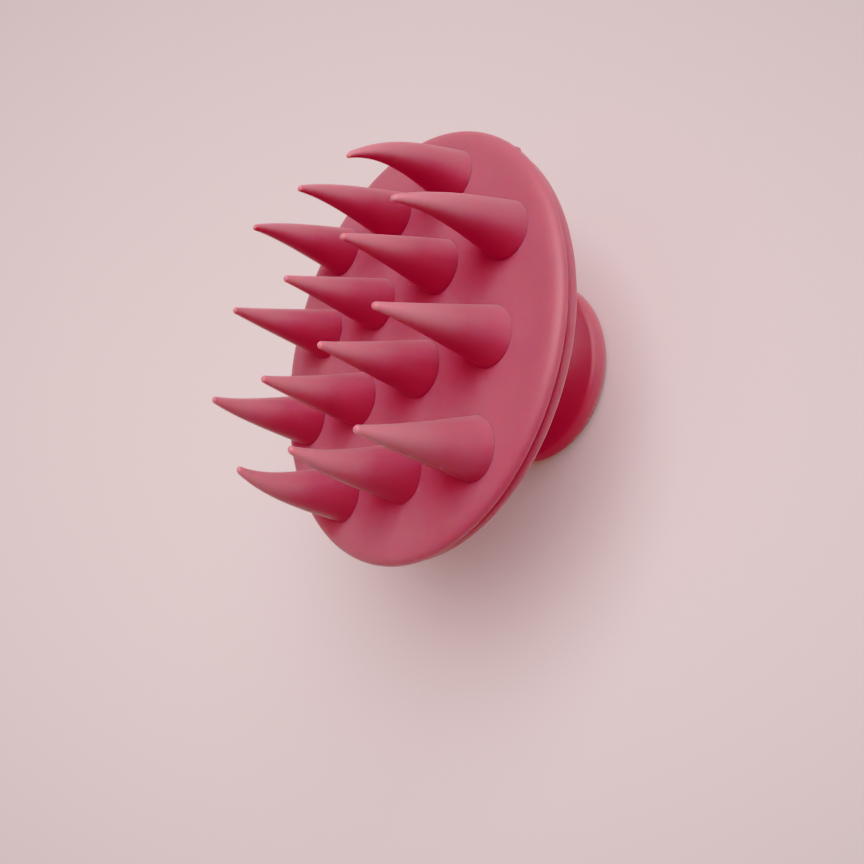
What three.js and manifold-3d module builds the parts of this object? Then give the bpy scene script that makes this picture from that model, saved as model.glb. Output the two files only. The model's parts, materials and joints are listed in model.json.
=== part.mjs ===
// A hand-held scalp massager brush: a round head with fourteen flexible claw bristles on a soft pad,
// a rigid core plate, a back shell with a thin lip, and a hollow mushroom knob to hold it by.
// Millimetres, +Z up. The brush stands on the flat end of its knob, and that face's centre is the origin.

import * as THREE from "three";
import { mergeVertices } from "three/addons/utils/BufferGeometryUtils.js";
import Module from "manifold-3d";

const wasm = await Module();
wasm.setup();

// Driving dimensions
const FACE_Z = 40.5; // the pad's flat face
const BRISTLE_LENGTH = 22.2; // from the face to a bristle's tip
const INNER_LENGTH = 21; // of the four bristles nearest the middle
const PAD_R = 42.7; // the pad's widest ring, and the widest part of the head
const LIP_R = 42.1; // the shell's lip
const KNOB_R = 20.7; // the knob's widest ring
const NECK_R = 11; // the knob's waist
const CONTACT_GAP = 0.3; // running gap round each bristle, and at the snap fits
const SCREW_GAP = 0.1; // between a screw and its hole

// Bristles
const ROW_PITCH = 15.3; // between rows, along Y
const BRISTLE_PITCH = 22.3; // between bristles of one row, along X
const ROW_COUNTS = [2, 3, 4, 3, 2];
const ROW_BOW = 0.8; // how much further out the middle bristle of a row of three stands
const ROOT_R = 5.5; // at the face
const TIP_R = 0.7;
const TAPER = 1.05; // above 1, the sides curve in, like a thorn
const HOOK = 3; // how far an outermost tip leans to the middle
const HOOK_POWER = 3.8; // above 1, most of the hook is near the tip
const ODD_HOOKS = { 2: 4.4, 6: 0.8, 14: 2 }; // bristles that lean more or less than the rule, by number
const OUTER_RADIUS = 1.5 * BRISTLE_PITCH; // of the outermost bristles
const PIVOT_HEIGHT = 3; // of the bending point, above the face
const ROOT_BALL_R = Math.hypot(ROOT_R, PIVOT_HEIGHT); // a ball round the bending point
const BRISTLE_SIDES = 14;

// Pad
const PAD_THICKNESS = 4.4;
const SHOULDER_WIDTH = 2.7; // from the flat face out to the widest ring
const SHOULDER_HEIGHT = 2; // from the face down to the widest ring
const PAD_RIM_THICKNESS = 2.3;
const SEAM_INSET = 0.2; // the rim draws in a little at its seam
const PAD_PLUG_R = 37.6; // the middle that sinks into the core plate

// Core plate
const BEAD_R = 42.1; // the edge that shows between pad and shell
const FLANGE_THICKNESS = 0.5;
const CORE_WALL_R = 39;
const CORE_FLOOR_THICKNESS = 1.5;
const SCREW_COUNT = 4;
const SCREW_CIRCLE_R = 22;

// Back shell
const GROOVE_R = 41.8; // the shell's side, under the core plate's bead
const LIP_DROP = 4.3; // from the face down to the lip's upper edge
const LIP_THICKNESS = 0.6;
const LIP_UNDERCUT = [1.1, 0.9]; // in and down from the lip's lower edge, where the bowl starts
const SHELL_WALL = 1.8;
const SHELL_SEAT_Z = 26; // where the knob's neck meets it
const SHELL_SEAT_R = 13.6;
const SHELL_BELLY = [32, 1.2]; // radius, and rise above the seat, that the bowl swells towards
const SHELL_RIM_LAND = 0.3; // depth of the inner wall under the core plate
const BOSS_R = 3.4;

// Knob and its cap
const KNOB_EDGE_R = 3; // round of the flat end's edge
const KNOB_BROW = [20.1, 5.2]; // radius and height where the rounded edge turns under
const KNOB_BROW_START_Z = 4.4; // control height of the curve from the widest ring to the brow
const UNDER_BROW_Z = 9.2; // control height of the hollow under the brow
const WAIST_Z = 17.5;
const COLLAR_START_Z = 23.4; // control height of the flare up to the shell's seat
const KNOB_CAVITY_TOP_Z = 11;
const KNOB_CAVITY_R = 15.1;
const NECK_CAVITY_R = 6.5;
const NECK_FLOOR_Z = 19; // underside of the solid top of the neck
const CAP_R = 16.2;
const CAP_THICKNESS = 2;
const CAP_SKIRT_HEIGHT = 4.5;
const CAP_SKIRT_WALL = 1.4;

// Screws
const PLATE_SCREW_R = 1.4;
const PLATE_SCREW_LIP_R = 2.8;
const PLATE_SCREW_LENGTH = 7;
const KNOB_SCREW_R = 2;
const KNOB_SCREW_LIP_R = 3.8;
const KNOB_SCREW_LENGTH = 9;
const KNOB_SCREW_HEAD_HEIGHT = 2.2;
const KNOB_SCREW_HEAD_BEVEL = [1, 0.7]; // radially and along the screw

// Heights that follow from them
const PAD_BOTTOM_Z = FACE_Z - PAD_THICKNESS;
const SEAM_Z = FACE_Z - PAD_RIM_THICKNESS; // pad rim on core flange
const LEDGE_Z = SEAM_Z - FLANGE_THICKNESS; // core flange on shell
const CORE_BOTTOM_Z = PAD_BOTTOM_Z - CORE_FLOOR_THICKNESS;
const LIP_Z = FACE_Z - LIP_DROP;
const SHELL_FLOOR_Z = SHELL_SEAT_Z + SHELL_WALL;

const ROUND_SIDES = 48; // of the large turned pieces
const SMALL_SIDES = 12; // of screws and their holes
const SILICONE = { color: 0xc2506a, roughness: 0.62, metalness: 0 };
const SHELL_PLASTIC = { color: 0xbc4c66, roughness: 0.5, metalness: 0 };
const CORE_PLASTIC = { color: 0xc98a96, roughness: 0.55, metalness: 0 };
const STEEL = { color: 0x9a9a9c, roughness: 0.35, metalness: 1 };

// Points of a circular arc in a profile, from angle a to b in degrees, both ends included.
function arc(r, z, radius, a, b, steps) {
  return Array.from({ length: steps + 1 }, (_, i) => {
    const angle = THREE.MathUtils.degToRad(a + ((b - a) * i) / steps);
    return [r + radius * Math.cos(angle), z + radius * Math.sin(angle)];
  });
}

// Points of a quadratic curve in a profile, without its first point.
function bend(from, control, to, steps) {
  const curve = new THREE.QuadraticBezierCurve(
    new THREE.Vector2(...from),
    new THREE.Vector2(...control),
    new THREE.Vector2(...to),
  );
  return curve.getPoints(steps).slice(1).map((p) => [p.x, p.y]);
}

// A profile of [radius, z] points turned about the Z axis.
function turned(profile, sides) {
  const points = profile.map(([r, z]) => new THREE.Vector2(r, z));
  return new THREE.LatheGeometry(points, sides).rotateX(Math.PI / 2);
}

// A cylinder along Z between two heights.
function rod(radius, low, high, sides = SMALL_SIDES) {
  const height = high - low;
  return new THREE.CylinderGeometry(radius, radius, height, sides)
    .rotateX(Math.PI / 2)
    .translate(0, 0, low + height / 2);
}

function toSolid(geometry) {
  const bare = geometry.clone();
  bare.deleteAttribute("normal");
  bare.deleteAttribute("uv");
  const merged = mergeVertices(bare, 1e-3);
  const mesh = new wasm.Mesh({
    numProp: 3,
    vertProperties: merged.attributes.position.array,
    triVerts: new Uint32Array(merged.index.array),
  });
  return new wasm.Manifold(mesh);
}

function toGeometry(solid) {
  const mesh = solid.getMesh();
  const geometry = new THREE.BufferGeometry();
  geometry.setAttribute("position", new THREE.BufferAttribute(mesh.vertProperties, 3));
  geometry.setIndex(new THREE.BufferAttribute(mesh.triVerts, 1));
  geometry.computeVertexNormals();
  return geometry;
}

function cut(geometry, tools) {
  const solid = tools.reduce((left, tool) => left.subtract(toSolid(tool)), toSolid(geometry));
  return toGeometry(solid);
}

function join(geometry, pieces) {
  const solid = pieces.reduce((sum, piece) => sum.add(toSolid(piece)), toSolid(geometry));
  return toGeometry(solid);
}

function part(name, geometry, finish) {
  const mesh = new THREE.Mesh(geometry, new THREE.MeshStandardMaterial(finish));
  mesh.name = name;
  return mesh;
}

// The bristles' places on the face, row by row.
function bristlePlaces() {
  return ROW_COUNTS.flatMap((count, row) =>
    Array.from({ length: count }, (_, i) => {
      const x = (i - (count - 1) / 2) * BRISTLE_PITCH;
      const y = (row - (ROW_COUNTS.length - 1) / 2) * ROW_PITCH;
      return { x, y: x === 0 ? y + Math.sign(y) * ROW_BOW : y };
    }),
  );
}

// The plate screws' places, round the axis.
function screwPlaces() {
  return Array.from({ length: SCREW_COUNT }, (_, i) => {
    const angle = ((i + 0.5) / SCREW_COUNT) * 2 * Math.PI;
    return { x: SCREW_CIRCLE_R * Math.cos(angle), y: SCREW_CIRCLE_R * Math.sin(angle) };
  });
}

// One claw, on a face at z = 0: a ball-shaped root below the face, a tapering shaft, a round tip.
// The tip leans by `lean` along -X.
function bristleGeometry(length, lean) {
  const faceAngle = THREE.MathUtils.radToDeg(Math.asin(-PIVOT_HEIGHT / ROOT_BALL_R));
  const ball = arc(0, PIVOT_HEIGHT, ROOT_BALL_R, -90, faceAngle, 3);
  const shaftTop = length - TIP_R;
  const steps = 7;
  const shaft = Array.from({ length: steps }, (_, i) => {
    const up = (i + 1) / steps;
    return [TIP_R + (ROOT_R - TIP_R) * (1 - up) ** TAPER, shaftTop * up];
  });
  const tip = arc(0, shaftTop, TIP_R, 0, 90, 2).slice(1);
  const geometry = turned([...ball, ...shaft, ...tip], BRISTLE_SIDES);
  const position = geometry.attributes.position;
  for (let i = 0; i < position.count; i += 1) {
    const height = Math.max(position.getZ(i), 0) / length;
    position.setX(i, position.getX(i) - lean * height ** HOOK_POWER);
  }
  geometry.computeVertexNormals();
  return geometry;
}

// Each bristle leans towards the middle of the head, the outer ones most.
function bristles() {
  const group = new THREE.Group();
  group.position.z = FACE_Z;
  bristlePlaces().forEach(({ x, y }, i) => {
    const radius = Math.hypot(x, y);
    const length = radius < OUTER_RADIUS / 2 ? INNER_LENGTH : BRISTLE_LENGTH;
    const lean = ODD_HOOKS[i + 1] ?? HOOK * (radius / OUTER_RADIUS) ** 2;
    const name = `bristle_${String(i + 1).padStart(2, "0")}`;
    const mesh = part(name, bristleGeometry(length, lean), SILICONE);
    mesh.position.set(x, y, 0);
    mesh.rotation.z = radius > 0 ? Math.atan2(y, x) : 0;
    group.add(mesh);
  });
  return group;
}

// A soft disc with a rounded shoulder; its middle sinks into the core plate.
// A round dimple takes each bristle's root.
function bristlePad() {
  const widest = [PAD_R, FACE_Z - SHOULDER_HEIGHT];
  const profile = [
    [0, PAD_BOTTOM_Z],
    [PAD_PLUG_R, PAD_BOTTOM_Z],
    [PAD_PLUG_R, SEAM_Z],
    [PAD_R - SEAM_INSET, SEAM_Z],
    widest,
    ...bend(widest, [PAD_R, FACE_Z], [PAD_R - SHOULDER_WIDTH, FACE_Z], 5),
    [0, FACE_Z],
  ];
  const dimples = bristlePlaces().map(({ x, y }) =>
    new THREE.SphereGeometry(ROOT_BALL_R + CONTACT_GAP, BRISTLE_SIDES, 12)
      .rotateX(Math.PI / 2)
      .translate(x, y, FACE_Z + PIVOT_HEIGHT),
  );
  return part("bristle_pad", cut(turned(profile, ROUND_SIDES), dimples), SILICONE);
}

// A stiff dish under the pad. Its flange shows as a thin bead between pad and shell.
function corePlate() {
  const profile = [
    [0, CORE_BOTTOM_Z],
    [CORE_WALL_R, CORE_BOTTOM_Z],
    [CORE_WALL_R, LEDGE_Z],
    [BEAD_R, LEDGE_Z],
    [BEAD_R, SEAM_Z],
    [PAD_PLUG_R + CONTACT_GAP, SEAM_Z],
    [PAD_PLUG_R + CONTACT_GAP, PAD_BOTTOM_Z],
    [0, PAD_BOTTOM_Z],
  ];
  const holes = screwPlaces().map(({ x, y }) =>
    turned(plateScrewProfile(SCREW_GAP), SMALL_SIDES).translate(x, y, 0),
  );
  return part("core_plate", cut(turned(profile, ROUND_SIDES), holes), CORE_PLASTIC);
}

// A countersunk screw down from the core plate's floor, or its hole when grown by a gap.
function plateScrewProfile(gap) {
  const top = PAD_BOTTOM_Z - SCREW_GAP + gap;
  const neck = top - (PLATE_SCREW_LIP_R - PLATE_SCREW_R);
  return [
    [0, PAD_BOTTOM_Z - PLATE_SCREW_LENGTH - gap],
    [PLATE_SCREW_R + gap, PAD_BOTTOM_Z - PLATE_SCREW_LENGTH - gap],
    [PLATE_SCREW_R + gap, neck],
    [PLATE_SCREW_LIP_R + gap, top],
    [0, top],
  ];
}

function plateScrews() {
  const group = new THREE.Group();
  screwPlaces().forEach(({ x, y }, i) => {
    const screw = part(`plate_screw_${i + 1}`, turned(plateScrewProfile(0), SMALL_SIDES), STEEL);
    screw.position.set(x, y, 0);
    group.add(screw);
  });
  return group;
}

// A shallow bowl with a thin lip, screw bosses inside and a flat seat for the knob.
function backShell() {
  const lip = [LIP_R, LIP_Z];
  const underLip = [LIP_R - LIP_UNDERCUT[0], LIP_Z - LIP_THICKNESS - LIP_UNDERCUT[1]];
  const seat = [SHELL_SEAT_R, SHELL_SEAT_Z];
  const innerRim = [CORE_WALL_R + CONTACT_GAP, CORE_BOTTOM_Z - SHELL_RIM_LAND];
  const innerSeat = [SHELL_SEAT_R, SHELL_FLOOR_Z];
  const [bellyR, bellyRise] = SHELL_BELLY;
  const profile = [
    [0, SHELL_SEAT_Z],
    seat,
    ...bend(seat, [bellyR, SHELL_SEAT_Z + bellyRise], underLip, 5),
    [LIP_R, LIP_Z - LIP_THICKNESS],
    lip,
    ...bend(lip, [GROOVE_R, LIP_Z], [GROOVE_R, LEDGE_Z], 3),
    [CORE_WALL_R + CONTACT_GAP, LEDGE_Z],
    innerRim,
    ...bend(innerRim, [bellyR, SHELL_FLOOR_Z + bellyRise], innerSeat, 3),
    [0, SHELL_FLOOR_Z],
  ];
  const bosses = screwPlaces().map(({ x, y }) =>
    rod(BOSS_R, SHELL_FLOOR_Z, CORE_BOTTOM_Z).translate(x, y, 0),
  );
  const holes = screwPlaces().map(({ x, y }) =>
    turned(plateScrewProfile(SCREW_GAP), SMALL_SIDES).translate(x, y, 0),
  );
  const knobHole = rod(KNOB_SCREW_R + SCREW_GAP, SHELL_SEAT_Z - 1, SHELL_FLOOR_Z + 1);
  const bowl = join(turned(profile, ROUND_SIDES), bosses);
  return part("back_shell", cut(bowl, [...holes, knobHole]), SHELL_PLASTIC);
}

// The knob and its neck: one hollow turned piece, open at the flat end for the cap.
function knob() {
  const edgeCentre = KNOB_R - KNOB_EDGE_R;
  const waist = [NECK_R, WAIST_Z];
  const collar = [SHELL_SEAT_R, SHELL_SEAT_Z];
  const profile = [
    [0, NECK_FLOOR_Z],
    [NECK_CAVITY_R, NECK_FLOOR_Z],
    [NECK_CAVITY_R, KNOB_CAVITY_TOP_Z],
    [KNOB_CAVITY_R, CAP_SKIRT_HEIGHT + 1],
    [KNOB_CAVITY_R, CAP_THICKNESS],
    [CAP_R + CONTACT_GAP, CAP_THICKNESS],
    [CAP_R + CONTACT_GAP, 0],
    ...arc(edgeCentre, KNOB_EDGE_R, KNOB_EDGE_R, -90, 0, 4),
    ...bend([KNOB_R, KNOB_EDGE_R], [KNOB_R, KNOB_BROW_START_Z], KNOB_BROW, 3),
    ...bend(KNOB_BROW, [NECK_R, UNDER_BROW_Z], waist, 5),
    ...bend(waist, [NECK_R, COLLAR_START_Z], collar, 4),
    [0, SHELL_SEAT_Z],
  ];
  const screwHole = rod(KNOB_SCREW_R + SCREW_GAP, NECK_FLOOR_Z - 1, SHELL_SEAT_Z + 1);
  return part("knob", cut(turned(profile, ROUND_SIDES), [screwHole]), SHELL_PLASTIC);
}

// The flat disc that closes the knob, with a skirt that grips the knob's bore.
function knobCap() {
  const skirtR = KNOB_CAVITY_R - CONTACT_GAP;
  const profile = [
    [0, 0],
    [CAP_R, 0],
    [CAP_R, CAP_THICKNESS],
    [skirtR, CAP_THICKNESS],
    [skirtR, CAP_SKIRT_HEIGHT],
    [skirtR - CAP_SKIRT_WALL, CAP_SKIRT_HEIGHT],
    [skirtR - CAP_SKIRT_WALL, CAP_THICKNESS],
    [0, CAP_THICKNESS],
  ];
  return part("knob_cap", turned(profile, ROUND_SIDES), SHELL_PLASTIC);
}

// A pan-head screw through the shell's floor into the top of the neck.
function knobScrew() {
  const headTop = SHELL_FLOOR_Z + KNOB_SCREW_HEAD_HEIGHT;
  const [bevelWidth, bevelDepth] = KNOB_SCREW_HEAD_BEVEL;
  const profile = [
    [0, SHELL_FLOOR_Z - KNOB_SCREW_LENGTH],
    [KNOB_SCREW_R, SHELL_FLOOR_Z - KNOB_SCREW_LENGTH],
    [KNOB_SCREW_R, SHELL_FLOOR_Z],
    [KNOB_SCREW_LIP_R, SHELL_FLOOR_Z],
    [KNOB_SCREW_LIP_R, headTop - bevelDepth],
    [KNOB_SCREW_LIP_R - bevelWidth, headTop],
    [0, headTop],
  ];
  return part("knob_screw", turned(profile, SMALL_SIDES), STEEL);
}

const brush = new THREE.Group();
brush.name = "scalp_massager_brush";
brush.add(
  bristles(),
  bristlePad(),
  corePlate(),
  plateScrews(),
  backShell(),
  knob(),
  knobCap(),
  knobScrew(),
);

export default brush;
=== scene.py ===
"""The looks of a scalp massager brush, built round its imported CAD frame.

A soft pink silicone pad with fourteen claw bristles, a back cover with a thin lip, and a palm knob.
Lengths are in millimetres unless a name says otherwise; MM turns them into Blender's metres.
"""

import json
import math

import bmesh
import bpy
from mathutils import Matrix, Vector

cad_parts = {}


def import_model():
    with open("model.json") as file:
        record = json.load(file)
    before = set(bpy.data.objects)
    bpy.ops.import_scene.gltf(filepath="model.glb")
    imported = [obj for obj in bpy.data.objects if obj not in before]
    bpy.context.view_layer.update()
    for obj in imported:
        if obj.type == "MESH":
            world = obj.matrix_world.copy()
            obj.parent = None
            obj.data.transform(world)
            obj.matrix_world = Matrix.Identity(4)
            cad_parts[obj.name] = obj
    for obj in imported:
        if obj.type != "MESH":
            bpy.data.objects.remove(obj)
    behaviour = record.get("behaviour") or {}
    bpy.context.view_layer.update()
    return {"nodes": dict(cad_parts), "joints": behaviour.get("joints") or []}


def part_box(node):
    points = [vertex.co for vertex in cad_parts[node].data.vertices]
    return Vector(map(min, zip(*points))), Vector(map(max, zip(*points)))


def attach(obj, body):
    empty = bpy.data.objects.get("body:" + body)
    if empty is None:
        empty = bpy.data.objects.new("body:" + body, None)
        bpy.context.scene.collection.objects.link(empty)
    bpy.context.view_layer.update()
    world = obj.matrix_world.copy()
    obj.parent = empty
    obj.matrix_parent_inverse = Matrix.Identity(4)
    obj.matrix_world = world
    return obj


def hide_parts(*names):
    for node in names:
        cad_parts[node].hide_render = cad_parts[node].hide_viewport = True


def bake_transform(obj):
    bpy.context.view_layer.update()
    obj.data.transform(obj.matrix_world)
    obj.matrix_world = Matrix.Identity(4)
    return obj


MM = 0.001

# Bristles
ROOT_R = 5.5
TIP_R = 0.7
BRISTLE_TAPER = 1.05
HOOK_POWER = 3.8
ROOT_DEPTH = 1.2  # how far a root reaches into the pad

# Rim of the head
SHOULDER_WIDTH = 3.6
SHOULDER_HEIGHT = 2
SEAM_INSET = 0.35
SEAM_ROUND_R = 0.25
PLUG_R = 37.6
SNAP_GAP = 0.3
FLANGE_THICKNESS = 0.5
BEAD_ROUND_R = 0.24
CORE_WALL_R = 39
SIDE_R = 41.8  # of the cover, under the core plate's bead
LIP_DROP = 4.3  # from the face
LIP_THICKNESS = 0.6
LIP_UNDERCUT = (1.1, 0.9)
LIP_EDGE_DROP = 0.2  # of the lip's widest ring, below its upper edge
LIP_FLARE = 0.5  # how far up the cover's side the lip's flare starts
SEAM_CHAMFER = 0.15  # of the cover's side, under the bead

# Back cover and knob
SHELL_WALL = 1.8
SHELL_BELLY = (32, 1.2)
SHELL_RIM_LAND = 0.3
SEAT_R = 13.6
KNOB_EDGE_R = 3
KNOB_BROW = (20.1, 5.2)
KNOB_BROW_START_Z = 4.4
UNDER_BROW_Z = 9.2
NECK_R = 11
WAIST_Z = 17.5
COLLAR_START_Z = 23.4
NECK_CAVITY_R = 6.5
NECK_FLOOR_Z = 19
KNOB_CAVITY_TOP_Z = 11
KNOB_CAVITY_R = 15.1
SKIRT_HEADROOM = 1  # above the cap's skirt, where the cavity starts to narrow
CAP_THICKNESS = 2
CAP_SKIRT_WALL = 1.4
CAP_EDGE_R = 0.25

# Mesh density
ROUND_SIDES = 256
BRISTLE_SIDES = 48
BRISTLE_RINGS = 56
PAD_FACE_RINGS = 8
SMALL_ROUND_STEPS = 6  # in a bead or a cap's edge
SEAM_STEPS = 8  # also in a bristle's round tip
LIP_STEPS = (12, 14)  # under it and above it
KNOB_STEPS = 24
BROW_STEPS = 16
SHOULDER_STEPS = 28
SHELL_STEPS = (40, 30)  # outside and inside

# Camera, in front of the rows' left end and above the face
CAMERA_PLACE = Vector((-111.3, -56.1, 122.25)) * MM
CAMERA_FORWARD = Vector((0.6814, 0.2427, -0.6905))
CAMERA_DOWN = Vector((-0.5329, 0.8112, -0.2408))
CAMERA_LENS_MM = 31.18
CAMERA_SHIFT = (-0.1387, -0.1474)
SENSOR_MM = 36

# Light
KEY_AZIMUTH = math.radians(-104)
KEY_ELEVATION = math.radians(47)
KEY_STRENGTH = 2.25
KEY_SPREAD = math.radians(60)
KEY_COLOUR = (0.88, 1, 1)
DOME_COLOUR = (1, 0.5, 0.52, 1)
DOME_STRENGTH = 0.43
EDGE_SHADE = (0.06, 0.1)  # how much the floor darkens at the sides and at the top and bottom of the view

# Colours
SILICONE_DEEP = (0.53, 0.07, 0.14)
SILICONE_PALE = (0.57, 0.08, 0.15)
TIP_COLOUR = (0.68, 0.22, 0.29)
# The knob's pink is darker than the pad's: painted shade for the head's shadow on the knob, with the same
# random mottle between its two tones
KNOB_SHADED_DEEP = (0.52, 0.052, 0.115)
KNOB_SHADED_PALE = (0.56, 0.06, 0.125)
CORE_DEEP = (0.5, 0.075, 0.14)
CORE_PALE = (0.54, 0.085, 0.15)
FLOOR_TONES = ((0.85, 0.825, 0.805), (0.87, 0.845, 0.825))
STEEL = (0.6, 0.6, 0.61, 1)
SPECK_COLOUR = (0.86, 0.66, 0.7)

# Surface of the soft pieces; scales are per metre
SOFT_SPECULAR = 0.8
SOFT_COAT = 0.3
SOFT_COAT_ROUGHNESS = 0.6
SOFT_SHEEN = 0.2
SOFT_SHEEN_ROUGHNESS = 0.9
SOFT_ROUGHNESS = 0.5
ROUGHNESS_SPREAD = 0.04  # either side of it
MOTTLE_SCALE = 160
MOTTLE_NOISE_BAND = (0.35, 0.65)  # the part of the noise's range that is used
MOTTLE_SHARES = (0.2, 0.8)  # of the way from the deep colour to the pale one, at the ends of that part
CLOUD_SCALE = 70
CLOUD_NOISE_BAND = (0.3, 0.7)
GRAIN_SCALE = 5000
GRAIN_DEPTH = 0.05
GRAIN_STRENGTH = 0.12
SCATTER_DEPTH = 1.5
SCATTER_SHARES = (1.0, 0.05, 0.12)  # of that depth, for red, green and blue
TIP_SHARE_START = 0.35  # of a bristle's height, where it starts to pale
WEAR_SCALE = 900
STEEL_ROUGHNESS = (0.28, 0.42)
FLOOR_CLOUD_SCALE = 3
FLOOR_ROUGHNESS = 0.9
FLOOR_SIZE = 12  # metres

# Specks of dust: the pitch they are strewn at, and how big one is
SPECK_PITCH = 6.5
SPECK_R = 0.16
SPECK_CORE = 0.6  # of its radius, where it starts to fade
SPECK_COVER = 0.8

# A trace of moulding flash on the pad's edge
FLASH_AZIMUTH = math.radians(-90.5)
FLASH_LENGTH = 2.6
FLASH_R = 0.4
FLASH_SKEW = 0.6  # below 1, the ridge is thickest before its middle
FLASH_SINK = 0.12  # of its centre line, below the rim's surface
FLASH_RINGS = 16
FLASH_SIDES = 16

# Tone curves: (scene value, shown value); deep shades lose their last trace of grey
RED_CURVE = ((0.1, 0.09), (0.3, 0.27), (0.4, 0.375), (0.5, 0.488), (0.65, 0.65))
GREEN_CURVE = (
    (0.045, 0.0025),
    (0.07, 0.015),
    (0.08, 0.028),
    (0.095, 0.056),
    (0.11, 0.09),
    (0.15, 0.15),
    (0.2, 0.2),
)
BLUE_CURVE = (
    (0.03, 0.007),
    (0.06, 0.016),
    (0.08, 0.026),
    (0.1, 0.046),
    (0.13, 0.1),
    (0.16, 0.152),
    (0.25, 0.25),
)


# ---------------------------------------------------------------- outlines


def arc(r, z, radius, start, end, steps):
    """Points of a circular arc in a profile, from one angle to another in degrees, both ends included."""
    angles = [math.radians(start + (end - start) * i / steps) for i in range(steps + 1)]
    return [(r + radius * math.cos(a), z + radius * math.sin(a)) for a in angles]


def bend(start, control, end, steps):
    """Points of a quadratic curve in a profile, both ends included."""
    points = []
    for i in range(steps + 1):
        t = i / steps
        weights = ((1 - t) ** 2, 2 * t * (1 - t), t * t)
        points.append(tuple(sum(w * p[k] for w, p in zip(weights, (start, control, end))) for k in range(2)))
    return points


# ---------------------------------------------------------------- meshes


def add_object(name, mesh_data, sharp_angle=40):
    mesh = bpy.data.meshes.new(name)
    mesh_data.to_mesh(mesh)
    mesh_data.free()
    mesh.shade_smooth()
    mesh.set_sharp_from_angle(angle=math.radians(sharp_angle))
    piece = bpy.data.objects.new(name, mesh)
    bpy.context.scene.collection.objects.link(piece)
    return piece


def turned(name, profile, sides=ROUND_SIDES):
    """A closed body: a profile of (radius, z) points that starts and ends on the axis, turned about Z."""
    body = bmesh.new()
    rings = []
    for r, z in profile:
        if r < 1e-6:
            rings.append([body.verts.new((0, 0, z * MM))])
            continue
        angles = [2 * math.pi * i / sides for i in range(sides)]
        rings.append([body.verts.new((r * MM * math.cos(a), r * MM * math.sin(a), z * MM)) for a in angles])
    join_rings(body, rings)
    bmesh.ops.recalc_face_normals(body, faces=body.faces)
    return add_object(name, body)


def join_rings(body, rings):
    """Faces between neighbouring rings; a ring of one point closes an end."""
    for low, high in zip(rings, rings[1:]):
        count = max(len(low), len(high))
        for i in range(count):
            j = (i + 1) % count
            corners = [low[i % len(low)], low[j % len(low)], high[j % len(high)], high[i % len(high)]]
            unique = list(dict.fromkeys(corners))
            if len(unique) > 2:
                body.faces.new(unique)


def box_mm(node):
    return [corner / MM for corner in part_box(node)]


def set_material(piece, material):
    piece.data.materials.clear()
    piece.data.materials.append(material)


def finish_piece(piece, material, node):
    """A rigid piece of the head that takes the place of a CAD node."""
    set_material(piece, material)
    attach(piece, "head")
    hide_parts(node)


# ---------------------------------------------------------------- materials


def new_material(name):
    material = bpy.data.materials.new(name)
    material.use_nodes = True
    nodes = material.node_tree.nodes
    return material, nodes, material.node_tree.links, nodes["Principled BSDF"]


def noise(nodes, links, coordinates, scale, detail=2.0):
    texture = nodes.new("ShaderNodeTexNoise")
    texture.inputs["Scale"].default_value = scale
    texture.inputs["Detail"].default_value = detail
    links.new(coordinates, texture.inputs["Vector"])
    return texture.outputs["Fac"]


def remap(nodes, links, value, low, high, from_low=0.0, from_high=1.0):
    """A value moved from the range from_low..from_high to low..high, and held inside it."""
    node = nodes.new("ShaderNodeMapRange")
    node.inputs["From Min"].default_value = from_low
    node.inputs["From Max"].default_value = from_high
    node.inputs["To Min"].default_value = low
    node.inputs["To Max"].default_value = high
    links.new(value, node.inputs["Value"])
    return node.outputs["Result"]


def mix_colour(nodes, links, factor, a, b):
    node = nodes.new("ShaderNodeMix")
    node.data_type = "RGBA"
    links.new(factor, node.inputs["Factor"])
    for colour, socket in ((a, node.inputs["A"]), (b, node.inputs["B"])):
        if isinstance(colour, tuple):
            socket.default_value = (*colour, 1)
        else:
            links.new(colour, socket)
    return node.outputs["Result"]


def soft_pink(name, deep, pale):
    """Matte moulded silicone or soft-touch plastic: faintly mottled, finely grained, with sparse dust."""
    material, nodes, links, shader = new_material(name)
    coordinates = nodes.new("ShaderNodeTexCoord").outputs["Object"]
    patches = noise(nodes, links, coordinates, MOTTLE_SCALE, 3)
    mottle = remap(nodes, links, patches, *MOTTLE_SHARES, *MOTTLE_NOISE_BAND)
    body_colour = mix_colour(nodes, links, mottle, deep, pale)
    tip = nodes.new("ShaderNodeAttribute")
    tip.attribute_name = "tip_share"
    tip_factor = remap(nodes, links, tip.outputs["Fac"], 0, 1, TIP_SHARE_START, 1)
    tipped_colour = mix_colour(nodes, links, tip_factor, body_colour, TIP_COLOUR)
    speckled_colour = mix_colour(nodes, links, specks(nodes, links, coordinates), tipped_colour, SPECK_COLOUR)
    links.new(speckled_colour, shader.inputs["Base Color"])
    cloud = noise(nodes, links, coordinates, CLOUD_SCALE)
    smooth, rough = SOFT_ROUGHNESS - ROUGHNESS_SPREAD, SOFT_ROUGHNESS + ROUGHNESS_SPREAD
    links.new(remap(nodes, links, cloud, smooth, rough, *CLOUD_NOISE_BAND), shader.inputs["Roughness"])
    grain = nodes.new("ShaderNodeBump")
    grain.inputs["Strength"].default_value = GRAIN_STRENGTH
    grain.inputs["Distance"].default_value = GRAIN_DEPTH * MM
    links.new(noise(nodes, links, coordinates, GRAIN_SCALE, 1), grain.inputs["Height"])
    links.new(grain.outputs["Normal"], shader.inputs["Normal"])
    shader.inputs["Specular IOR Level"].default_value = SOFT_SPECULAR
    shader.inputs["Coat Weight"].default_value = SOFT_COAT
    shader.inputs["Coat Roughness"].default_value = SOFT_COAT_ROUGHNESS
    shader.inputs["Subsurface Weight"].default_value = 1
    shader.inputs["Subsurface Radius"].default_value = SCATTER_SHARES
    shader.inputs["Subsurface Scale"].default_value = SCATTER_DEPTH * MM
    shader.inputs["Sheen Weight"].default_value = SOFT_SHEEN
    shader.inputs["Sheen Roughness"].default_value = SOFT_SHEEN_ROUGHNESS
    return material


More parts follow.
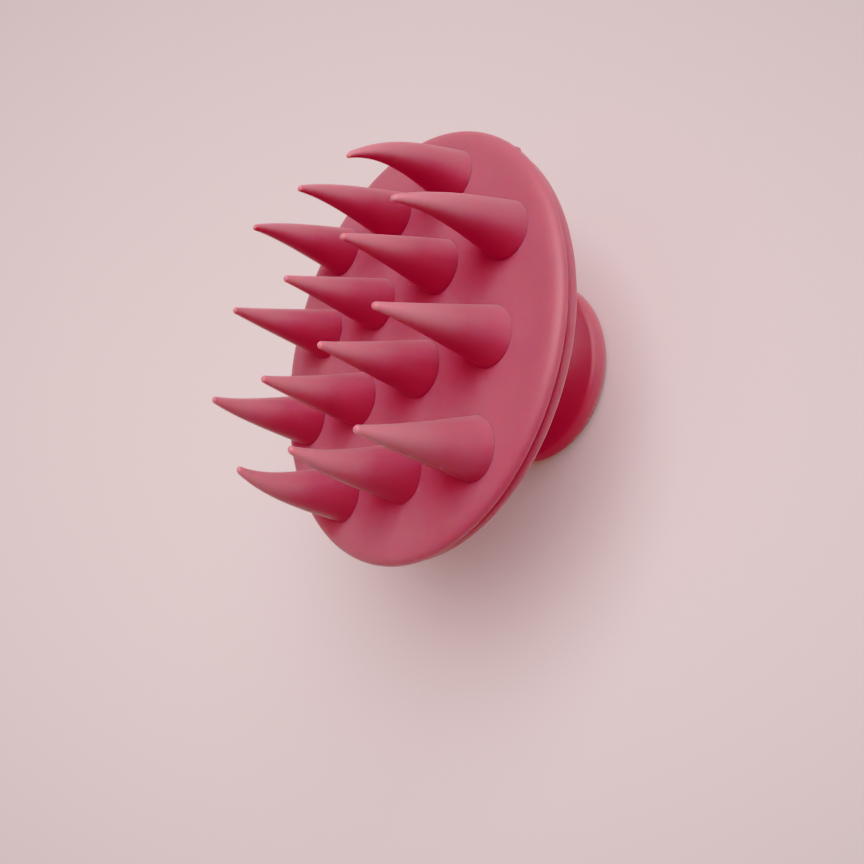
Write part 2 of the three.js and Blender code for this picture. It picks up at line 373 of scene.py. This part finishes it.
def specks(nodes, links, coordinates):
    """SPECK_COVER inside sparse grains of dust, 0 elsewhere."""
    cells = nodes.new("ShaderNodeTexVoronoi")
    cells.inputs["Scale"].default_value = 1 / (SPECK_PITCH * MM)
    links.new(coordinates, cells.inputs["Vector"])
    edge = SPECK_R / SPECK_PITCH
    return remap(nodes, links, cells.outputs["Distance"], SPECK_COVER, 0, edge * SPECK_CORE, edge)


def steel_material():
    material, nodes, links, shader = new_material("screw_steel")
    coordinates = nodes.new("ShaderNodeTexCoord").outputs["Object"]
    shader.inputs["Base Color"].default_value = STEEL
    shader.inputs["Metallic"].default_value = 1
    wear = noise(nodes, links, coordinates, WEAR_SCALE)
    links.new(remap(nodes, links, wear, *STEEL_ROUGHNESS), shader.inputs["Roughness"])
    return material


def floor_material():
    material, nodes, links, shader = new_material("pale_floor")
    coordinates = nodes.new("ShaderNodeTexCoord").outputs["Object"]
    cloud = noise(nodes, links, coordinates, FLOOR_CLOUD_SCALE)
    floor_colour = mix_colour(nodes, links, cloud, *FLOOR_TONES)
    shaded_colour = mix_colour(nodes, links, edge_shade(nodes, links), floor_colour, (0.0, 0.0, 0.0))
    links.new(shaded_colour, shader.inputs["Base Color"])
    shader.inputs["Roughness"].default_value = FLOOR_ROUGHNESS
    return material


def edge_shade(nodes, links):
    """0 in the middle of the view, rising with the square of the distance to EDGE_SHADE at the edges."""
    window = nodes.new("ShaderNodeTexCoord").outputs["Window"]
    centred = nodes.new("ShaderNodeVectorMath")
    centred.operation = "SUBTRACT"
    links.new(window, centred.inputs[0])
    centred.inputs[1].default_value = (0.5, 0.5, 0)
    squared = nodes.new("ShaderNodeVectorMath")
    squared.operation = "MULTIPLY"
    links.new(centred.outputs["Vector"], squared.inputs[0])
    links.new(centred.outputs["Vector"], squared.inputs[1])
    share = nodes.new("ShaderNodeVectorMath")
    share.operation = "DOT_PRODUCT"
    links.new(squared.outputs["Vector"], share.inputs[0])
    share.inputs[1].default_value = (EDGE_SHADE[0] * 4, EDGE_SHADE[1] * 4, 0)
    return share.outputs["Value"]


# ---------------------------------------------------------------- pieces


def claw(name, place, face_z, tip):
    """A curved thorn: a flat end sunk in the pad, a tapering shaft, a round tip that leans to the middle."""
    length = tip.z - face_z
    lean = Vector((tip.x - place.x, tip.y - place.y, 0))
    shaft = length - TIP_R
    outline = [(0, -ROOT_DEPTH), (ROOT_R, -ROOT_DEPTH)]
    for i in range(BRISTLE_RINGS + 1):
        up = i / BRISTLE_RINGS
        outline.append((TIP_R + (ROOT_R - TIP_R) * (1 - up) ** BRISTLE_TAPER, shaft * up))
    outline += arc(0, shaft, TIP_R, 0, 90, SEAM_STEPS)[1:-1] + [(0, length)]
    body = bmesh.new()
    rings = []
    for r, z in outline:
        centre = Vector((place.x, place.y, face_z + z)) + lean * (max(z, 0) / length) ** HOOK_POWER
        if r < 1e-6:
            rings.append([body.verts.new(centre * MM)])
            continue
        angles = [2 * math.pi * i / BRISTLE_SIDES for i in range(BRISTLE_SIDES)]
        ring = [centre + Vector((r * math.cos(a), r * math.sin(a), 0)) for a in angles]
        rings.append([body.verts.new(point * MM) for point in ring])
    join_rings(body, rings)
    bmesh.ops.recalc_face_normals(body, faces=body.faces)
    piece = add_object(name, body)
    store_tip_share(piece, face_z, length)
    return piece


def store_tip_share(piece, face_z, length):
    """A point attribute for the silicone: 0 at the face, 1 at the tip."""
    attribute = piece.data.attributes.new("tip_share", "FLOAT", "POINT")
    for vertex, value in zip(piece.data.vertices, attribute.data):
        value.value = max(vertex.co.z / MM - face_z, 0) / length


def highest_point(node):
    return max((v.co for v in node.data.vertices), key=lambda p: p.z) / MM


def bristles(frame, material):
    face_z = box_mm("bristle_pad")[1].z
    for joint in frame["joints"]:
        body = joint["child"]
        place = Vector(joint["pos_m"]) / MM
        piece = claw(f"{body}_claw", place, face_z, highest_point(frame["nodes"][body]))
        set_material(piece, material)
        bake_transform(piece)
        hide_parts(body)


def pad(material):
    low, high = box_mm("bristle_pad")
    pad_r, face_z, seam_z = high.x, high.z, box_mm("core_plate")[1].z
    seam_r = pad_r - SEAM_INSET
    widest = (pad_r, face_z - SHOULDER_HEIGHT)
    profile = [(0, low.z), (PLUG_R, low.z), (PLUG_R, seam_z), (seam_r - SEAM_ROUND_R, seam_z)]
    profile += bend((seam_r - SEAM_ROUND_R, seam_z), (seam_r, seam_z), widest, SEAM_STEPS)[1:]
    profile += bend(widest, (pad_r, face_z), (pad_r - SHOULDER_WIDTH, face_z), SHOULDER_STEPS)[1:]
    face_r = pad_r - SHOULDER_WIDTH
    profile += [(face_r * (1 - i / PAD_FACE_RINGS), face_z) for i in range(1, PAD_FACE_RINGS + 1)]
    finish_piece(turned("pad_skin", profile), material, "bristle_pad")


def pad_flash(material):
    """One small ridge along the pad's widest ring, half sunk in it and thickest near its start."""
    _, high = box_mm("bristle_pad")
    body = bmesh.new()
    rings = []
    for i in range(FLASH_RINGS + 1):
        along = i / FLASH_RINGS
        angle = FLASH_AZIMUTH + FLASH_LENGTH * along / high.x
        out = Vector((math.cos(angle), math.sin(angle), 0))
        centre = out * (high.x - FLASH_SINK) + Vector((0, 0, high.z - SHOULDER_HEIGHT))
        if i in (0, FLASH_RINGS):
            rings.append([body.verts.new(centre * MM)])
            continue
        radius = FLASH_R * math.sin(math.pi * along**FLASH_SKEW)
        turns = [2 * math.pi * k / FLASH_SIDES for k in range(FLASH_SIDES)]
        ring = [centre + radius * (math.cos(a) * out + math.sin(a) * Vector((0, 0, 1))) for a in turns]
        rings.append([body.verts.new(point * MM) for point in ring])
    join_rings(body, rings)
    bmesh.ops.recalc_face_normals(body, faces=body.faces)
    piece = add_object("pad_flash", body)
    set_material(piece, material)
    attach(piece, "head")


def core_plate(material):
    low, high = box_mm("core_plate")
    pad_bottom_z = box_mm("bristle_pad")[0].z
    ledge_z = high.z - FLANGE_THICKNESS
    cup_r = PLUG_R + SNAP_GAP
    profile = [(0, low.z), (CORE_WALL_R, low.z), (CORE_WALL_R, ledge_z), (high.x - BEAD_ROUND_R, ledge_z)]
    profile += arc(high.x - BEAD_ROUND_R, ledge_z + BEAD_ROUND_R, BEAD_ROUND_R, -90, 0, SMALL_ROUND_STEPS)[1:]
    profile += arc(high.x - BEAD_ROUND_R, high.z - BEAD_ROUND_R, BEAD_ROUND_R, 0, 90, SMALL_ROUND_STEPS)
    profile += [(cup_r, high.z), (cup_r, pad_bottom_z), (0, pad_bottom_z)]
    finish_piece(turned("core_dish", profile), material, "core_plate")


def back_cover(material):
    low, high = box_mm("back_shell")
    face_z, core_bottom_z = box_mm("bristle_pad")[1].z, box_mm("core_plate")[0].z
    lip_r, ledge_z, seat_z = high.x, high.z, low.z
    lip_z = face_z - LIP_DROP
    under_z = lip_z - LIP_THICKNESS
    undercut, drop = LIP_UNDERCUT
    belly_r, belly_rise = SHELL_BELLY
    under_lip = (lip_r - undercut, under_z - drop)
    inner_r = CORE_WALL_R + SNAP_GAP
    inner_rim = (inner_r, core_bottom_z - SHELL_RIM_LAND)
    floor_z = seat_z + SHELL_WALL
    profile = [(0, seat_z)]
    profile += bend((SEAT_R, seat_z), (belly_r, seat_z + belly_rise), under_lip, SHELL_STEPS[0])
    lip = (lip_r, lip_z - LIP_EDGE_DROP)
    profile += bend(under_lip, (lip_r, under_z), lip, LIP_STEPS[0])[1:]
    side = (SIDE_R, ledge_z - SEAM_CHAMFER)
    profile += bend(lip, (lip_r, lip_z + LIP_FLARE), side, LIP_STEPS[1])[1:]
    profile += [(SIDE_R - SEAM_CHAMFER, ledge_z), (inner_r, ledge_z)]
    profile += bend(inner_rim, (belly_r, floor_z + belly_rise), (SEAT_R, floor_z), SHELL_STEPS[1])
    profile += [(0, floor_z)]
    finish_piece(turned("back_cover", profile), material, "back_shell")


def palm_knob(material):
    _, high = box_mm("knob")
    _, cap_high = box_mm("knob_cap")
    knob_r, seat_z = high.x, high.z
    bore_r = cap_high.x + SNAP_GAP
    profile = [(0, NECK_FLOOR_Z), (NECK_CAVITY_R, NECK_FLOOR_Z), (NECK_CAVITY_R, KNOB_CAVITY_TOP_Z)]
    profile += [(KNOB_CAVITY_R, cap_high.z + SKIRT_HEADROOM), (KNOB_CAVITY_R, CAP_THICKNESS)]
    profile += [(bore_r, CAP_THICKNESS), (bore_r, CAP_EDGE_R), (bore_r + CAP_EDGE_R, 0)]
    profile += arc(knob_r - KNOB_EDGE_R, KNOB_EDGE_R, KNOB_EDGE_R, -90, 0, KNOB_STEPS)
    profile += bend((knob_r, KNOB_EDGE_R), (knob_r, KNOB_BROW_START_Z), KNOB_BROW, BROW_STEPS)[1:]
    profile += bend(KNOB_BROW, (NECK_R, UNDER_BROW_Z), (NECK_R, WAIST_Z), KNOB_STEPS)[1:]
    profile += bend((NECK_R, WAIST_Z), (NECK_R, COLLAR_START_Z), (SEAT_R, seat_z), KNOB_STEPS)[1:]
    profile += [(0, seat_z)]
    finish_piece(turned("palm_knob", profile), material, "knob")


def base_disc(material):
    _, high = box_mm("knob_cap")
    skirt_r = KNOB_CAVITY_R - SNAP_GAP
    skirt_inner_r = skirt_r - CAP_SKIRT_WALL
    profile = [(0, 0)] + arc(high.x - CAP_EDGE_R, CAP_EDGE_R, CAP_EDGE_R, -90, 0, SMALL_ROUND_STEPS)
    profile += [(high.x, CAP_THICKNESS), (skirt_r, CAP_THICKNESS), (skirt_r, high.z)]
    profile += [(skirt_inner_r, high.z), (skirt_inner_r, CAP_THICKNESS), (0, CAP_THICKNESS)]
    finish_piece(turned("base_disc", profile), material, "knob_cap")


def screws(frame, material):
    """The screws keep their CAD shape."""
    for name, node in frame["nodes"].items():
        if "screw" in name:
            node.data.materials.clear()
            node.data.materials.append(material)


# ---------------------------------------------------------------- stage


def floor():
    bpy.ops.mesh.primitive_plane_add(size=FLOOR_SIZE, location=(0, 0, 0))
    plane = bpy.context.object
    plane.name = "floor"
    plane.data.materials.append(floor_material())


def dome():
    """An even pink glow from all round, as a pale room gives back the brush's own colour."""
    world = bpy.data.worlds.new("studio")
    bpy.context.scene.world = world
    world.use_nodes = True
    background = world.node_tree.nodes["Background"]
    background.inputs["Color"].default_value = DOME_COLOUR
    background.inputs["Strength"].default_value = DOME_STRENGTH


def sun(name, towards, strength, spread, colour):
    light = bpy.data.lights.new(name, "SUN")
    light.energy = strength
    light.angle = spread
    light.color = colour
    lamp = bpy.data.objects.new(name, light)
    lamp.rotation_euler = towards.to_track_quat("Z", "Y").to_euler()
    bpy.context.scene.collection.objects.link(lamp)


def camera():
    data = bpy.data.cameras.new("camera")
    data.lens = CAMERA_LENS_MM
    data.sensor_width = SENSOR_MM
    data.shift_x, data.shift_y = CAMERA_SHIFT
    data.clip_start = 0.005
    eye = bpy.data.objects.new("camera", data)
    forward = CAMERA_FORWARD.normalized()
    right = forward.cross(-CAMERA_DOWN).normalized()
    up = right.cross(forward)
    eye.location = CAMERA_PLACE
    eye.rotation_euler = Matrix((right, up, -forward)).transposed().to_euler()
    bpy.context.scene.collection.objects.link(eye)
    bpy.context.scene.camera = eye


def tone():
    view = bpy.context.scene.view_settings
    view.view_transform = "Standard"
    view.use_curve_mapping = True
    for curve, steps in zip(view.curve_mapping.curves, (RED_CURVE, GREEN_CURVE, BLUE_CURVE)):
        for value, shown in steps:
            curve.points.new(value, shown)
    view.curve_mapping.update()


def main():
    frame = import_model()
    silicone = soft_pink("pad_silicone", SILICONE_DEEP, SILICONE_PALE)
    shell = soft_pink("cover_soft_touch", SILICONE_DEEP, SILICONE_PALE)
    # the knob's darker pink is painted shade from the head
    shaded_grip = soft_pink("knob_soft_touch_painted_shade", KNOB_SHADED_DEEP, KNOB_SHADED_PALE)
    core = soft_pink("core_plastic", CORE_DEEP, CORE_PALE)
    pad(silicone)
    pad_flash(silicone)
    bristles(frame, silicone)
    core_plate(core)
    back_cover(shell)
    palm_knob(shaded_grip)
    base_disc(shaded_grip)
    screws(frame, steel_material())
    floor()
    dome()
    key_flat = math.cos(KEY_ELEVATION)
    towards_key = Vector(
        (key_flat * math.cos(KEY_AZIMUTH), key_flat * math.sin(KEY_AZIMUTH), math.sin(KEY_ELEVATION))
    )
    sun("key", towards_key, KEY_STRENGTH, KEY_SPREAD, KEY_COLOUR)
    camera()
    tone()


main()
